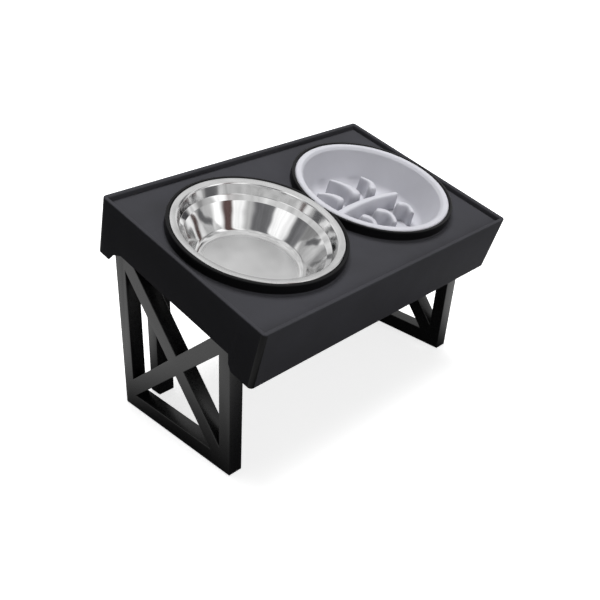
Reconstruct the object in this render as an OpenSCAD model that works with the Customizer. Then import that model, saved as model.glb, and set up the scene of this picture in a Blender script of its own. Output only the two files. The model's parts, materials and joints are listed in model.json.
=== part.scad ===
// Raised dog feeder: a sloped tray on two braced leg frames, with two bowls that lift out
// Millimetres, +Z up, +X along the tray's long side, +Y towards its raised back edge
// The origin is on the floor, under the middle of the tray

/* [Bowls] */
// Outside diameter of both bowl rims
bowl_d = 202; // [185:1:225]
// Gap between the two bowl rims
bowl_gap = 1; // [0.6:0.1:1.3]
// Height of the bowl rims above the tray rim
rim_rise = 6; // [5:0.5:9]
// Width of the flange round each bowl, rolled edge included
flange_w = 8.5; // [8:0.1:10]
// Drop from the top of a rim to the underside of its flange
flange_drop = 2.2; // [2:0.1:2.6]
// Height of the neck that rounds each wall into its flange
neck_h = 1.5; // [1:0.1:2]

/* [Steel bowl] */
// Depth from the rim to the floor
steel_depth = 55; // [42:1:60]
// Thickness of the sheet
steel_t = 1; // [0.8:0.1:1.2]
// Radius of the rolled edge
bead_r = 2; // [1.8:0.1:2.2]
// Width of the slope between the mouth and the flat floor
steel_slope = 34.5; // [30:0.5:40]
// Radius of the round between the wall and the floor
steel_fillet = 11; // [8:0.5:14]
// Lean of the wall, in degrees
steel_lean = 30; // [26:1:33]
// Drop from the rim to the shoulder in the wall
step_drop = 15.5; // [12:0.5:18]
// Width and height of the shoulder in the wall
step_w = 5.4; // [3:0.1:6]
// Distance of the shoulder inside the mouth
step_in = 3.4; // [3:0.1:5]

/* [Slow feeder bowl] */
// Depth from the rim to the floor
feeder_depth = 48; // [38:1:58]
// Thickness of the wall
feeder_t = 2.4; // [2:0.1:3]
// Width of the slope between the mouth and the flat floor
feeder_slope = 25.5; // [22:0.5:30]
// Radius of the round between the wall and the floor
feeder_fillet = 14; // [10:0.5:16]
// Lean of the wall, in degrees
feeder_lean = 18; // [14:1:22]
// Distance of the mouth inside the rim
mouth_in = 11; // [9.5:0.5:12]
// Drop from the rim to the mouth
mouth_drop = 3; // [2:0.5:4]
// Radius of the rim's outer edge
lip_round = 3; // [2:0.5:3.5]
// Height of the fins above the floor
fin_h = 24; // [14:1:28]
// Thickness of the long divider
divider_t = 12; // [8:0.5:14]
// Bow of the long divider
divider_bow = 10; // [4:0.5:14]
// Thickness of a fin at its head, beside the divider
head_t = 14; // [10:0.5:16]
// Thickness of a fin at its tail, beside the wall
tail_t = 5; // [4:0.5:8]
// Bow of a fin behind the divider
back_bow = 4; // [1:0.5:6]
// Bow of a fin in front of the divider, the other way
front_bow = 7; // [4:0.5:8]

/* [Tray] */
// Tray beyond each bowl rim, at the two short ends
end_margin = 16.5; // [15:0.5:30]
// Tray beyond the bowl rims, at the front and at the back
side_margin = 34; // [30:1:50]
// Height of the tray's apron walls
tray_h = 75; // [70:1:95]
// Thickness of the apron walls
wall = 2.5; // [2:0.1:3.5]
// Width of the raised rim round the tray
rim_w = 5.5; // [4:0.5:8]
// Depth of the tray's floor below the rim
recess = 7; // [5:0.5:9]
// Thickness of the tray's floor
plate = 3.5; // [3:0.1:5]
// Radius of the tray's upright corners
corner_r = 5; // [4:0.5:12]
// Radius of the corners inside the raised rim
recess_r = 3; // [2:0.5:8]
// Slope of the tray, back edge higher than front edge, in degrees
tilt = 14; // [8:1:18]
// Height of the middle of the tray rim above the floor
top_height = 247; // [220:1:300]
// Height of the notch that each side apron leaves for its leg
notch_h = 19; // [15:0.5:20]
// Room on each side of a leg in its notch
notch_room = 0.8; // [0.6:0.1:2]
// Width of the slanted lead-in at the lower front corner of a notch
lead_w = 3.5; // [2:0.5:5]
// Height of that lead-in
lead_h = 7; // [4:0.5:9]
// Lean of a notch's back edge, from the notch's top to the apron's lower edge
notch_lean = 10; // [6:0.5:12]

/* [Collars] */
// Width of the collar that shows round each bowl rim
collar_w = 4.5; // [3:0.5:6]
// Drop from the top of a bowl rim to the top of its collar
collar_drop = 0.5; // [0.2:0.1:1]
// Bevel along the top of a collar
collar_bevel = 0.8; // [0.4:0.1:1.2]
// Radial room between a bowl rim and its collar
rim_room = 0.8; // [0.75:0.05:1]
// Radial room between a bowl's body and the hole in the tray
hole_room = 1.3; // [1:0.1:2]
// Height of the soft seat ring under each flange
ring_h = 2.3; // [1.8:0.1:2.6]

/* [Legs] */
// Width of a leg frame, front to back
leg_w = 197; // [180:1:205]
// Depth of a leg frame
leg_d = 20; // [16:0.5:24]
// Depth of a rear post
rear_post_d = 24.5; // [18:0.5:26]
// Width of the upright posts
post_w = 17.5; // [14:0.5:20]
// Width of the two crossed braces
brace_w = 20; // [14:0.5:22]
// Height at which the rising brace leaves the front post
brace_front = 18; // [14:0.5:24]
// Height at which the falling brace meets the back post
brace_back = 31; // [26:0.5:36]
// Drop from the hidden rail to the upper ends of the braces
brace_drop = 4; // [2:0.5:6]
// Height of the bar that joins the feet
foot_bar = 21; // [16:0.5:26]
// Height of the top rail, hidden behind the apron
rail_h = 10; // [8:0.5:12]
// Height of the rail above the notch that hides it
rail_hide = 2; // [1:0.5:4]
// Distance that the legs stand behind the middle of the tray's underside
leg_back = 2; // [0:0.5:5]
// Space between a leg frame and the rear post inside it
post_gap = 20; // [14:0.5:24]

/* [Foot pads] */
// Length of a leg's foot pad, front to back
pad_l = 34; // [20:1:40]
// Width of a foot pad and of a post tip
pad_w = 12; // [8:0.5:13]
// Thickness of a foot pad
pad_t = 2.5; // [2:0.1:4]
// Height of a foot pad that stands out under the foot
pad_proud = 1; // [0.6:0.1:1.4]
// Distance of a foot pad from the corner of its leg
pad_inset = 5; // [3:0.5:8]
// Wall left round the tip of a rear post
tip_wall = 2.5; // [2:0.1:3]

/* [Sockets] */
// Thickness of the socket walls
socket_t = 3; // [2.5:0.1:4]
// Thickness of the socket roofs, on which the tray sits
roof_t = 3.5; // [3:0.1:4.5]
// Length of a screw ear
ear = 12; // [11:0.5:14]
// Length of the screw bosses under the tray's floor
boss_l = 7; // [6:0.5:9]
// Diameter of the screw bosses
boss_d = 9; // [8:0.5:10]
// Diameter of a screw's shank
screw_d = 3.5; // [3:0.1:4]
// Diameter of a screw's head
screw_head_d = 7; // [6:0.1:8]
// Height of a screw's head
screw_head_h = 2.4; // [2:0.1:3]
// Length of the cross cut in a screw's head
cross_l = 4; // [3:0.1:5]
// Width and depth of the cross cut
cross_w = 1; // [0.8:0.1:1.2]

/* [Fits] */
// Room on each side of a post in its socket, and of a leg behind the apron
fit = 0.4; // [0.3:0.05:0.6]
// Room above a post's end under the socket roof
seat_gap = 0.1; // [0.05:0.05:0.3]
// Room between a leg's rail and the sockets above it
rail_room = 0.5; // [0.3:0.1:1]
// Room between a bowl's flange and its seat ring
ring_gap = 0.3; // [0.2:0.05:0.5]
// Room round a screw and round a foot pad
small_fit = 0.1; // [0.05:0.01:0.2]

/* [Hidden] */
$fn = 96;

black_abs = [0.13, 0.13, 0.14];
black_rubber = [0.06, 0.06, 0.06];
steel = [0.78, 0.78, 0.77];
grey_pp = [0.72, 0.72, 0.76];

// Length by which a cut runs past the face that it opens
over = 1;
// Straight pieces in a rounded corner, in the rolled edge and along a fin
arc_steps = 6;
bead_steps = 14;
fin_steps = 8;
// Degrees between the points of a fin's round ends
cap_step = 15;

// Tray outline and the tray's place in the room
tray_l = 2 * bowl_d + bowl_gap + 2 * end_margin;
tray_d = bowl_d + 2 * side_margin;
bowl_x = (bowl_d + bowl_gap) / 2;
sn = sin(tilt);
cs = cos(tilt);
tray_y = -tray_h / 2 * sn;

// Heights across the tray, from the rim plane down
floor_k = -recess;
under_k = floor_k - plate;
roof_k = under_k - boss_l;
seat_k = roof_k - roof_t;
post_top_k = seat_k - seat_gap;
notch_k = notch_h - tray_h;
lead_k = lead_h - tray_h;
rail_low_k = notch_k + rail_hide;
rail_top_k = rail_low_k + rail_h;
socket_low_k = rail_top_k + rail_room;

// Bowl seats, on the axis of a bowl
bowl_r = bowl_d / 2;
flange_k = rim_rise - flange_drop;
body_r = bowl_r - flange_w;
hole_r = body_r + hole_room;
bead_w = 2 * bead_r;
ring_r = bowl_r - bead_w - ring_gap;
ring_k = flange_k - ring_gap;
shelf_k = ring_k - ring_h;
collar_k = rim_rise - collar_drop;

// Leg frames and rear posts
leg_out = tray_l / 2 - wall - fit;
leg_in = leg_out - leg_d;
leg_mid = tray_h / 2 * sn + leg_back;
leg_y0 = leg_mid - leg_w / 2;
leg_y1 = leg_mid + leg_w / 2;
yf = leg_y0 + post_w;
yb = leg_y1 - post_w;
post_out = leg_in - post_gap;
post_in = post_out - rear_post_d;

// World height of the tray plane k above the world place y
function plane_z(y, k) = top_height + (y - tray_y) * tan(tilt) + k / cs;
// Tray place across its depth of the world place y at plane k
function tray_v(y, k) = (y - tray_y + k * sn) / cs;
function arc_pts(c, r, a0, a1, n) =
  [for (i = [0:n]) c + r * [cos(a0 + (a1 - a0) * i / n), sin(a0 + (a1 - a0) * i / n)]];
function cross2(a, b) = a[0] * b[1] - a[1] * b[0];
function meet(p, u, q, v) = p + u * cross2(q - p, v) / cross2(u, v);
function unit(v) = v / norm(v);
function left_of(u) = [-u[1], u[0]];
function backwards(list) = [for (i = [len(list) - 1:-1:0]) list[i]];

// Braces of a leg frame, as centre lines in the plane of the frame
brace_a = [yf, brace_front];
brace_c = [yb, plane_z(yb, rail_low_k - brace_drop)];
brace_b = [yb, brace_back];
brace_e = [yf, plane_z(yf, rail_low_k - brace_drop)];
u1 = unit(brace_c - brace_a);
u2 = unit(brace_e - brace_b);
n1 = left_of(u1) * brace_w / 2;
n2 = left_of(u2) * brace_w / 2;
up = [0, 1];
along = [1, 0];
slope = [cs, sn];
rail_p = [yf, plane_z(yf, rail_low_k)];

module in_tray() {
  translate([0, tray_y, top_height]) rotate([tilt, 0, 0]) children();
}

module prism_x(x0, x1) {
  translate([x0, 0, 0]) rotate([90, 0, 90]) linear_extrude(x1 - x0) children();
}

module rounded_rect(l, d, r) {
  square([l - 2 * r, d], center = true);
  square([l, d - 2 * r], center = true);
  for (sx = [-1, 1], sy = [-1, 1])
    translate([sx * (l / 2 - r), sy * (d / 2 - r)]) circle(r);
}

// Band of a leg plane between two upright lines and two tray planes
module band(y0, y1, k0, k1) {
  polygon([[y0, plane_z(y0, k0)], [y1, plane_z(y1, k0)], [y1, plane_z(y1, k1)], [y0, plane_z(y0, k1)]]);
}

// Places of the screws, as tray coordinates
front_ear_y = [leg_y0 - fit - socket_t - ear / 2, yf + fit + socket_t + ear / 2];
rear_ear_y = yb - fit - socket_t - ear / 2;
ear_x = (leg_out + leg_in) / 2;
inner_ear_x = post_in - fit - socket_t - ear / 2;
screw_places = [
  [ear_x, tray_v(front_ear_y[0], roof_k)],
  [ear_x, tray_v(front_ear_y[1], roof_k)],
  [ear_x, tray_v(rear_ear_y, roof_k)],
  [inner_ear_x, tray_v((yb + leg_y1) / 2, roof_k)]];
screw_hole_d = screw_d + 2 * small_fit;

module at_screws() {
  for (side = [-1, 1]) for (p = screw_places) translate([side * p[0], p[1], 0]) children();
}

module at_bowls() {
  for (side = [-1, 1]) translate([side * bowl_x, 0, 0]) children();
}

// Raised collar round a bowl, still solid
module collar() {
  r = bowl_r + collar_w;
  rotate_extrude() polygon([[0, under_k], [r, under_k], [r, collar_k - collar_bevel],
    [r - collar_bevel, collar_k], [0, collar_k]]);
}

// Hole for a bowl's body and the wider room above its shelf for the rim
module collar_bore() {
  translate([0, 0, -tray_h]) cylinder(h = 2 * tray_h, r = hole_r);
  translate([0, 0, shelf_k]) cylinder(h = tray_h, r = bowl_r + rim_room);
}

// Notch that a side apron leaves for its leg, with a lead-in at its front and a leaning back edge
module notch() {
  y0 = leg_y0 - notch_room;
  y1 = leg_y1 + notch_room;
  low = -tray_h - over;
  polygon([[y0 - lead_w, plane_z(y0 - lead_w, low)], [y1 + notch_lean, plane_z(y1 + notch_lean, low)],
    [y1, plane_z(y1, notch_k)], [y0, plane_z(y0, notch_k)], [y0, plane_z(y0, lead_k)]]);
}

module tray_shell() {
  color(black_abs) difference() {
    in_tray() difference() {
      union() {
        difference() {
          translate([0, 0, -tray_h]) linear_extrude(tray_h) rounded_rect(tray_l, tray_d, corner_r);
          translate([0, 0, -tray_h - over]) linear_extrude(tray_h + over + under_k)
            rounded_rect(tray_l - 2 * wall, tray_d - 2 * wall, corner_r - wall);
          translate([0, 0, floor_k]) linear_extrude(recess + over)
            rounded_rect(tray_l - 2 * rim_w, tray_d - 2 * rim_w, recess_r);
        }
        at_bowls() collar();
        at_screws() translate([0, 0, roof_k]) cylinder(h = boss_l + over, d = boss_d);
      }
      at_bowls() collar_bore();
      at_screws() translate([0, 0, roof_k - over]) cylinder(h = boss_l + 2 * over, d = screw_hole_d);
    }
    for (side = [-1, 1]) {
      wall_x = side * (tray_l - wall) / 2;
      prism_x(wall_x - wall, wall_x + wall) notch();
    }
  }
}

module seat_ring(side) {
  color(black_rubber) in_tray() translate([side * bowl_x, 0, 0]) rotate_extrude()
    polygon([[hole_r, shelf_k], [ring_r, shelf_k], [ring_r, ring_k], [hole_r, ring_k]]);
}
module seat_ring_left() { seat_ring(-1); }
module seat_ring_right() { seat_ring(1); }

// Pressed steel bowl, one thin sheet with a rolled edge; t is the distance outside its inner face
steel_floor = rim_rise - steel_depth;
steel_c = [body_r - steel_slope, steel_floor + steel_fillet];
step_k = rim_rise - step_drop;
step_r = body_r - step_in;
function steel_side(t) = concat([[0, steel_floor - t]],
  arc_pts(steel_c, steel_fillet + t, -90, -steel_lean, arc_steps),
  [[step_r - step_w + t, step_k - step_w], [step_r + t, step_k], [body_r - steel_t + t, flange_k - neck_h],
  [body_r + steel_t, flange_k + steel_t - t]]);

module steel_bowl() {
  edge = arc_pts([bowl_r - bead_r, rim_rise - bead_r], bead_r, 150, -180, bead_steps);
  color(steel) in_tray() translate([-bowl_x, 0, 0]) rotate_extrude()
    polygon(concat(steel_side(0), edge, [[bowl_r - bead_w, flange_k]], backwards(steel_side(steel_t))));
}

// Slow feeder bowl; t is the distance outside its inner face
feeder_floor = rim_rise - feeder_depth;
feeder_floor_r = body_r - feeder_slope;
feeder_c = [feeder_floor_r, feeder_floor + feeder_fillet];
feeder_mouth = [bowl_r - mouth_in, rim_rise - mouth_drop];
function feeder_side(t) =
  concat([[0, feeder_floor - t]], arc_pts(feeder_c, feeder_fillet + t, -90, -feeder_lean, arc_steps));

// Outline of a fin from its tail a to its head b, along a line that bows to its left
function bow_at(a, b, bow, s) = a + (b - a) * s + left_of(unit(b - a)) * bow * 4 * s * (1 - s);
function bow_way(a, b, bow, s) = unit(b - a + left_of(unit(b - a)) * bow * 4 * (1 - 2 * s));
function fin_side(a, b, bow, r0, r1, side) = [for (i = [0:fin_steps]) let (s = i / fin_steps)
  bow_at(a, b, bow, s) + side * left_of(bow_way(a, b, bow, s)) * (r0 + (r1 - r0) * s)];
function fin_cap(c, way, r) = [for (turn = [90 - cap_step:-cap_step:cap_step - 90])
  c + r * (way * cos(turn) + left_of(way) * sin(turn))];
function fin_outline(a, b, bow, r0, r1) = concat(fin_side(a, b, bow, r0, r1, 1),
  fin_cap(b, bow_way(a, b, bow, 1), r1), backwards(fin_side(a, b, bow, r0, r1, -1)),
  fin_cap(a, -bow_way(a, b, bow, 0), r0));

// Tails and heads of the fins behind and in front of the divider, as shares of the flat floor's radius
back_fins = [
  [[-0.06, 0.88], [0.02, 0.32]],
  [[0.63, 0.67], [0.53, 0.28]],
  [[-0.66, 0.66], [-0.46, 0.31]]];
front_fins = [
  [[0.02, -0.74], [-0.02, -0.34]],
  [[0.63, -0.71], [0.58, -0.39]],
  [[-0.51, -0.68], [-0.46, -0.34]]];
divider_a = [-1.28, -0.16] * feeder_floor_r;
divider_b = [0.81, -0.08] * feeder_floor_r;

module fin_block() {
  translate([0, 0, feeder_floor - feeder_t / 2]) linear_extrude(fin_h + feeder_t / 2) children();
}
module fin(ends, bow) {
  fin_block() polygon(fin_outline(ends[0] * feeder_floor_r, ends[1] * feeder_floor_r, bow,
    tail_t / 2, head_t / 2));
}

// Slow feeder bowl with its divider and six fins, one moulding
module feeder_bowl() {
  lip_k = rim_rise - bead_w;
  lip_in = bowl_r - bead_w + ring_gap;
  edge = concat(
    [feeder_mouth, [bowl_r - (mouth_in + bead_w) / 2, rim_rise - bead_r / 4], [ring_r, rim_rise]],
    arc_pts([bowl_r - lip_round, rim_rise - lip_round], lip_round, 90, 0, arc_steps),
    [[bowl_r, lip_k], [lip_in, lip_k], [lip_in, flange_k],
    [body_r, flange_k], [body_r, flange_k - neck_h]]);
  color(grey_pp) in_tray() translate([bowl_x, 0, 0]) {
    rotate_extrude() polygon(concat(feeder_side(0), edge, backwards(feeder_side(feeder_t))));
    for (ends = back_fins) fin(ends, back_bow);
    for (ends = front_fins) fin(ends, -front_bow);
    intersection() {
      fin_block() polygon(fin_outline(divider_a, divider_b, divider_bow, divider_t / 2, divider_t / 2));
      rotate_extrude() polygon(concat(feeder_side(feeder_t / 2), [feeder_mouth, [0, feeder_mouth[1]]]));
    }
  }
}

// Socket that guides a post down one side of the tray; the apron closes its outer side
module socket_walls(x0, x1, y0, y1) {
  prism_x(x0, x1) band(y0 - fit - socket_t, y1 + fit + socket_t, socket_low_k, roof_k);
}
module socket_room(x0, x1, y0, y1) {
  prism_x(x0, x1) band(y0 - fit, y1 + fit, rail_low_k, seat_k);
}
module screw_hole(p) {
  in_tray() translate([-p[0], p[1], -tray_h]) cylinder(h = tray_h, d = screw_hole_d);
}

module socket_front() {
  color(black_abs) difference() {
    union() {
      socket_walls(-leg_out, -leg_in + fit + socket_t, leg_y0, yf);
      prism_x(-leg_out, -leg_in + fit + socket_t)
        band(leg_y0 - fit - socket_t - ear, yf + fit + socket_t + ear, seat_k, roof_k);
    }
    socket_room(-leg_out - over, -leg_in + fit, leg_y0, yf);
    screw_hole(screw_places[0]);
    screw_hole(screw_places[1]);
  }
}

module socket_rear() {
  color(black_abs) difference() {
    union() {
      socket_walls(-leg_out, -post_in + fit + socket_t, yb, leg_y1);
      prism_x(-leg_out, -leg_in + fit + socket_t)
        band(yb - fit - socket_t - ear, leg_y1 + fit + socket_t, seat_k, roof_k);
      prism_x(-post_in, -post_in + fit + socket_t + ear)
        band(yb - fit - socket_t, leg_y1 + fit + socket_t, seat_k, roof_k);
    }
    socket_room(-leg_out - over, -leg_in + fit, yb, leg_y1);
    socket_room(-post_out - fit, -post_in + fit, yb, leg_y1);
    screw_hole(screw_places[2]);
    screw_hole(screw_places[3]);
  }
}
module socket_front_left() { socket_front(); }
module socket_rear_left() { socket_rear(); }
module socket_front_right() { mirror([1, 0, 0]) socket_front(); }
module socket_rear_right() { mirror([1, 0, 0]) socket_rear(); }

module socket_screws() {
  color(steel) in_tray() at_screws() {
    translate([0, 0, seat_k - over]) cylinder(h = roof_t + boss_l, d = screw_d);
    difference() {
      translate([0, 0, seat_k - screw_head_h]) cylinder(h = screw_head_h, d = screw_head_d);
      translate([0, 0, seat_k - screw_head_h - cross_w]) linear_extrude(2 * cross_w) {
        square([cross_l, cross_w], center = true);
        square([cross_w, cross_l], center = true);
      }
    }
  }
}

// Leg frame: two posts, a foot bar, a hidden rail and two crossed braces
module frame_outline() {
  polygon([[leg_y0, pad_proud], [leg_y1, pad_proud], [leg_y1, plane_z(leg_y1, post_top_k)],
    [yb, plane_z(yb, post_top_k)], [yb, plane_z(yb, rail_top_k)], [yf, plane_z(yf, rail_top_k)],
    [yf, plane_z(yf, post_top_k)], [leg_y0, plane_z(leg_y0, post_top_k)]]);
}
module frame_windows() {
  back_low = brace_a - n1;
  front_high = brace_a + n1;
  front_low = brace_b + n2;
  back_high = brace_b - n2;
  sill = [0, foot_bar];
  polygon([meet(back_low, u1, brace_c, up), meet(back_high, u2, brace_b, up),
    meet(back_low, u1, back_high, u2)]);
  polygon([meet(front_high, u1, brace_a, up), meet(front_low, u2, brace_a, up),
    meet(front_high, u1, front_low, u2)]);
  polygon([meet(back_low, u1, sill, along), meet(front_low, u2, sill, along),
    meet(back_low, u1, front_low, u2)]);
  polygon([meet(front_high, u1, rail_p, slope), meet(back_high, u2, rail_p, slope),
    meet(front_high, u1, back_high, u2)]);
}

// Places of the foot pads and of the post tips, on the left side
pad_x = -(leg_out + leg_in) / 2;
pad_front_y = leg_y0 + pad_l / 2 + pad_inset;
pad_rear_y = leg_y1 - pad_l / 2 - pad_inset;
tip_x = -(post_out + post_in) / 2;
tip_y = (yb + leg_y1) / 2;
tip_l = post_w - 2 * tip_wall;

module pad_block(x, y, l, room) {
  translate([x - pad_w / 2 - room, y - l / 2 - room, 0]) cube([pad_w + 2 * room, l + 2 * room, pad_t]);
}

module leg_frame() {
  color(black_abs) difference() {
    prism_x(-leg_out, -leg_in) difference() {
      frame_outline();
      frame_windows();
    }
    pad_block(pad_x, pad_front_y, pad_l, small_fit);
    pad_block(pad_x, pad_rear_y, pad_l, small_fit);
  }
}
module leg_frame_left() { leg_frame(); }
module leg_frame_right() { mirror([1, 0, 0]) leg_frame(); }

module foot_pad_front_left() { color(black_rubber) pad_block(pad_x, pad_front_y, pad_l, 0); }
module foot_pad_rear_left() { color(black_rubber) pad_block(pad_x, pad_rear_y, pad_l, 0); }
module foot_pad_front_right() { mirror([1, 0, 0]) foot_pad_front_left(); }
module foot_pad_rear_right() { mirror([1, 0, 0]) foot_pad_rear_left(); }

// Rear post: a plain upright just inside each leg, under the raised back of the tray
module rear_post() {
  color(black_abs) difference() {
    prism_x(-post_out, -post_in) polygon([[yb, pad_proud], [leg_y1, pad_proud],
      [leg_y1, plane_z(leg_y1, post_top_k)], [yb, plane_z(yb, post_top_k)]]);
    pad_block(tip_x, tip_y, tip_l, small_fit);
  }
}
module rear_post_left() { rear_post(); }
module rear_post_right() { mirror([1, 0, 0]) rear_post(); }
module post_tip_left() { color(black_rubber) pad_block(tip_x, tip_y, tip_l, 0); }
module post_tip_right() { mirror([1, 0, 0]) post_tip_left(); }

tray_shell();
seat_ring_left();
seat_ring_right();
socket_front_left();
socket_rear_left();
socket_front_right();
socket_rear_right();
socket_screws();
steel_bowl();
feeder_bowl();
leg_frame_left();
leg_frame_right();
foot_pad_front_left();
foot_pad_rear_left();
foot_pad_front_right();
foot_pad_rear_right();
rear_post_left();
rear_post_right();
post_tip_left();
post_tip_right();
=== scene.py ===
"""Raised dog feeder: a black sloped tray on braced legs, with a steel bowl and a slow feeder bowl.

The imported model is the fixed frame. The main pieces are replaced by finer surfaces, worked out with
numpy in millimetres and put into the mesh in metres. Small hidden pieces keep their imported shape.
"""
import json
import logging
import math
from dataclasses import dataclass, field
from enum import Enum
from typing import Any, Sequence

import bmesh
import bpy
import numpy as np
from mathutils import Matrix, Vector
from mathutils.geometry import tessellate_polygon


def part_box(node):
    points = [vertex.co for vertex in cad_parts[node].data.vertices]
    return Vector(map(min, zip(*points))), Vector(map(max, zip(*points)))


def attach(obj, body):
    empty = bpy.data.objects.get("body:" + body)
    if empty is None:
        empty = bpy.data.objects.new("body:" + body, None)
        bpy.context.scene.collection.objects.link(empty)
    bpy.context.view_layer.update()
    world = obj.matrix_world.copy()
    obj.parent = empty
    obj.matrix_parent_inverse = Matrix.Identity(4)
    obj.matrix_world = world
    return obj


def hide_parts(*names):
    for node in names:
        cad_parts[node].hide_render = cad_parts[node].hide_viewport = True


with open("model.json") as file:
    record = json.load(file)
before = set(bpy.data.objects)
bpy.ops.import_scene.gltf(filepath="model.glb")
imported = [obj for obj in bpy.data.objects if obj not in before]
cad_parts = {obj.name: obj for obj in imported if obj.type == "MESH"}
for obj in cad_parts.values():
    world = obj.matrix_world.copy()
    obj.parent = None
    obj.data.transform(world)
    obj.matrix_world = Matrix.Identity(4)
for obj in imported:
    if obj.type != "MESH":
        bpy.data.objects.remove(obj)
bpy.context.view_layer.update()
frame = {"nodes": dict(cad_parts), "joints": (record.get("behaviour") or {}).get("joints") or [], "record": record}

log = logging.getLogger("feeder")
Points = np.ndarray
Material = bpy.types.Material
NodeTree = bpy.types.NodeTree
Pair = tuple[float, float]
Triple = tuple[float, float, float]
MM = 0.001
MERGE_MM = 0.002
TINY = 1e-6
DIGITS = 9
HALVINGS = 40
BEVEL_POINTS = 5
SHARP_ANGLE = math.radians(35)
NOISE_SPAN = (0.3, 0.7)


class Slot(Enum):
    """Material slots of the record that the pieces take their finish from."""

    ABS = "black_abs"
    SILICONE = "black_silicone"
    RUBBER = "black_rubber"
    SCREW = "screw_steel"
    STEEL = "stainless_steel"
    PP = "grey_pp"


class Side(Enum):
    """Left and right half of the stand, as the sign of x."""

    LEFT = -1
    RIGHT = 1


def unit(vectors: Points) -> Points:
    """Scale vectors on the last axis to length one."""
    return vectors / np.linalg.norm(vectors, axis=-1, keepdims=True)


def left_of(vectors: Points) -> Points:
    """Turn plane vectors a quarter turn to the left."""
    return np.stack([-vectors[..., 1], vectors[..., 0]], axis=-1)


def line_meet(p: Points, u: Points, q: Points, v: Points) -> Points:
    """Find where the line through p along u meets the line through q along v."""
    w = q - p
    return p + u * (w[0] * v[1] - w[1] * v[0]) / (u[0] * v[1] - u[1] * v[0])


def round_corners(points: Sequence[Sequence[float]], radii: Sequence[float], steps: int = 8) -> Points:
    """Replace each inner corner of an open line by the arc that touches its two sides.

    The arc's centre lies on the corner's bisector at radius / sin(half angle), and its points are
    weighted sums of the two end spokes, as on a great circle.

    Args:
        points: corners of the line.
        radii: one radius per corner; 0 keeps the corner sharp, and the two ends are kept as they are.
        steps: number of straight pieces in each arc.

    Returns:
        The points of the rounded line.
    """
    line = np.asarray(points, float)
    share = np.linspace(0, 1, steps + 1)[:, None]
    pieces = [line[:1]]
    for before, corner, after, radius in zip(line[:-2], line[1:-1], line[2:], radii[1:-1]):
        if radius <= 0:
            pieces.append(corner[None])
            continue
        a = unit(before - corner)
        b = unit(after - corner)
        half = 0.5 * math.acos(np.clip(a @ b, -1, 1))
        centre = corner + unit(a + b) * radius / math.sin(half)
        spoke_a = corner + a * radius / math.tan(half) - centre
        spoke_b = corner + b * radius / math.tan(half) - centre
        turn = math.pi - 2 * half
        arc = spoke_a * np.sin((1 - share) * turn) + spoke_b * np.sin(share * turn)
        pieces.append(centre + arc / math.sin(turn))
    pieces.append(line[-1:])
    return np.concatenate(pieces)


def revolve(profile: Points, count: int) -> Points:
    """Turn a profile of radius and height about the Z axis: x = r cos t, y = r sin t.

    Args:
        profile: points of radius and height.
        count: number of columns round the axis.

    Returns:
        A grid of points, one row per profile point.
    """
    turn = np.linspace(0, 2 * math.pi, count, endpoint=False)
    r = profile[:, :1]
    z = np.repeat(profile[:, 1:], count, axis=1)
    return np.stack([r * np.cos(turn), r * np.sin(turn), z], axis=-1)


def add_object(name: str, data: Any) -> bpy.types.Object:
    """Put a mesh, a lamp or a camera into the scene at the origin.

    Args:
        name: name of the object.
        data: its mesh, lamp or camera.

    Returns:
        The object.
    """
    item = bpy.data.objects.new(name, data)
    bpy.context.scene.collection.objects.link(item)
    return item


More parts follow.
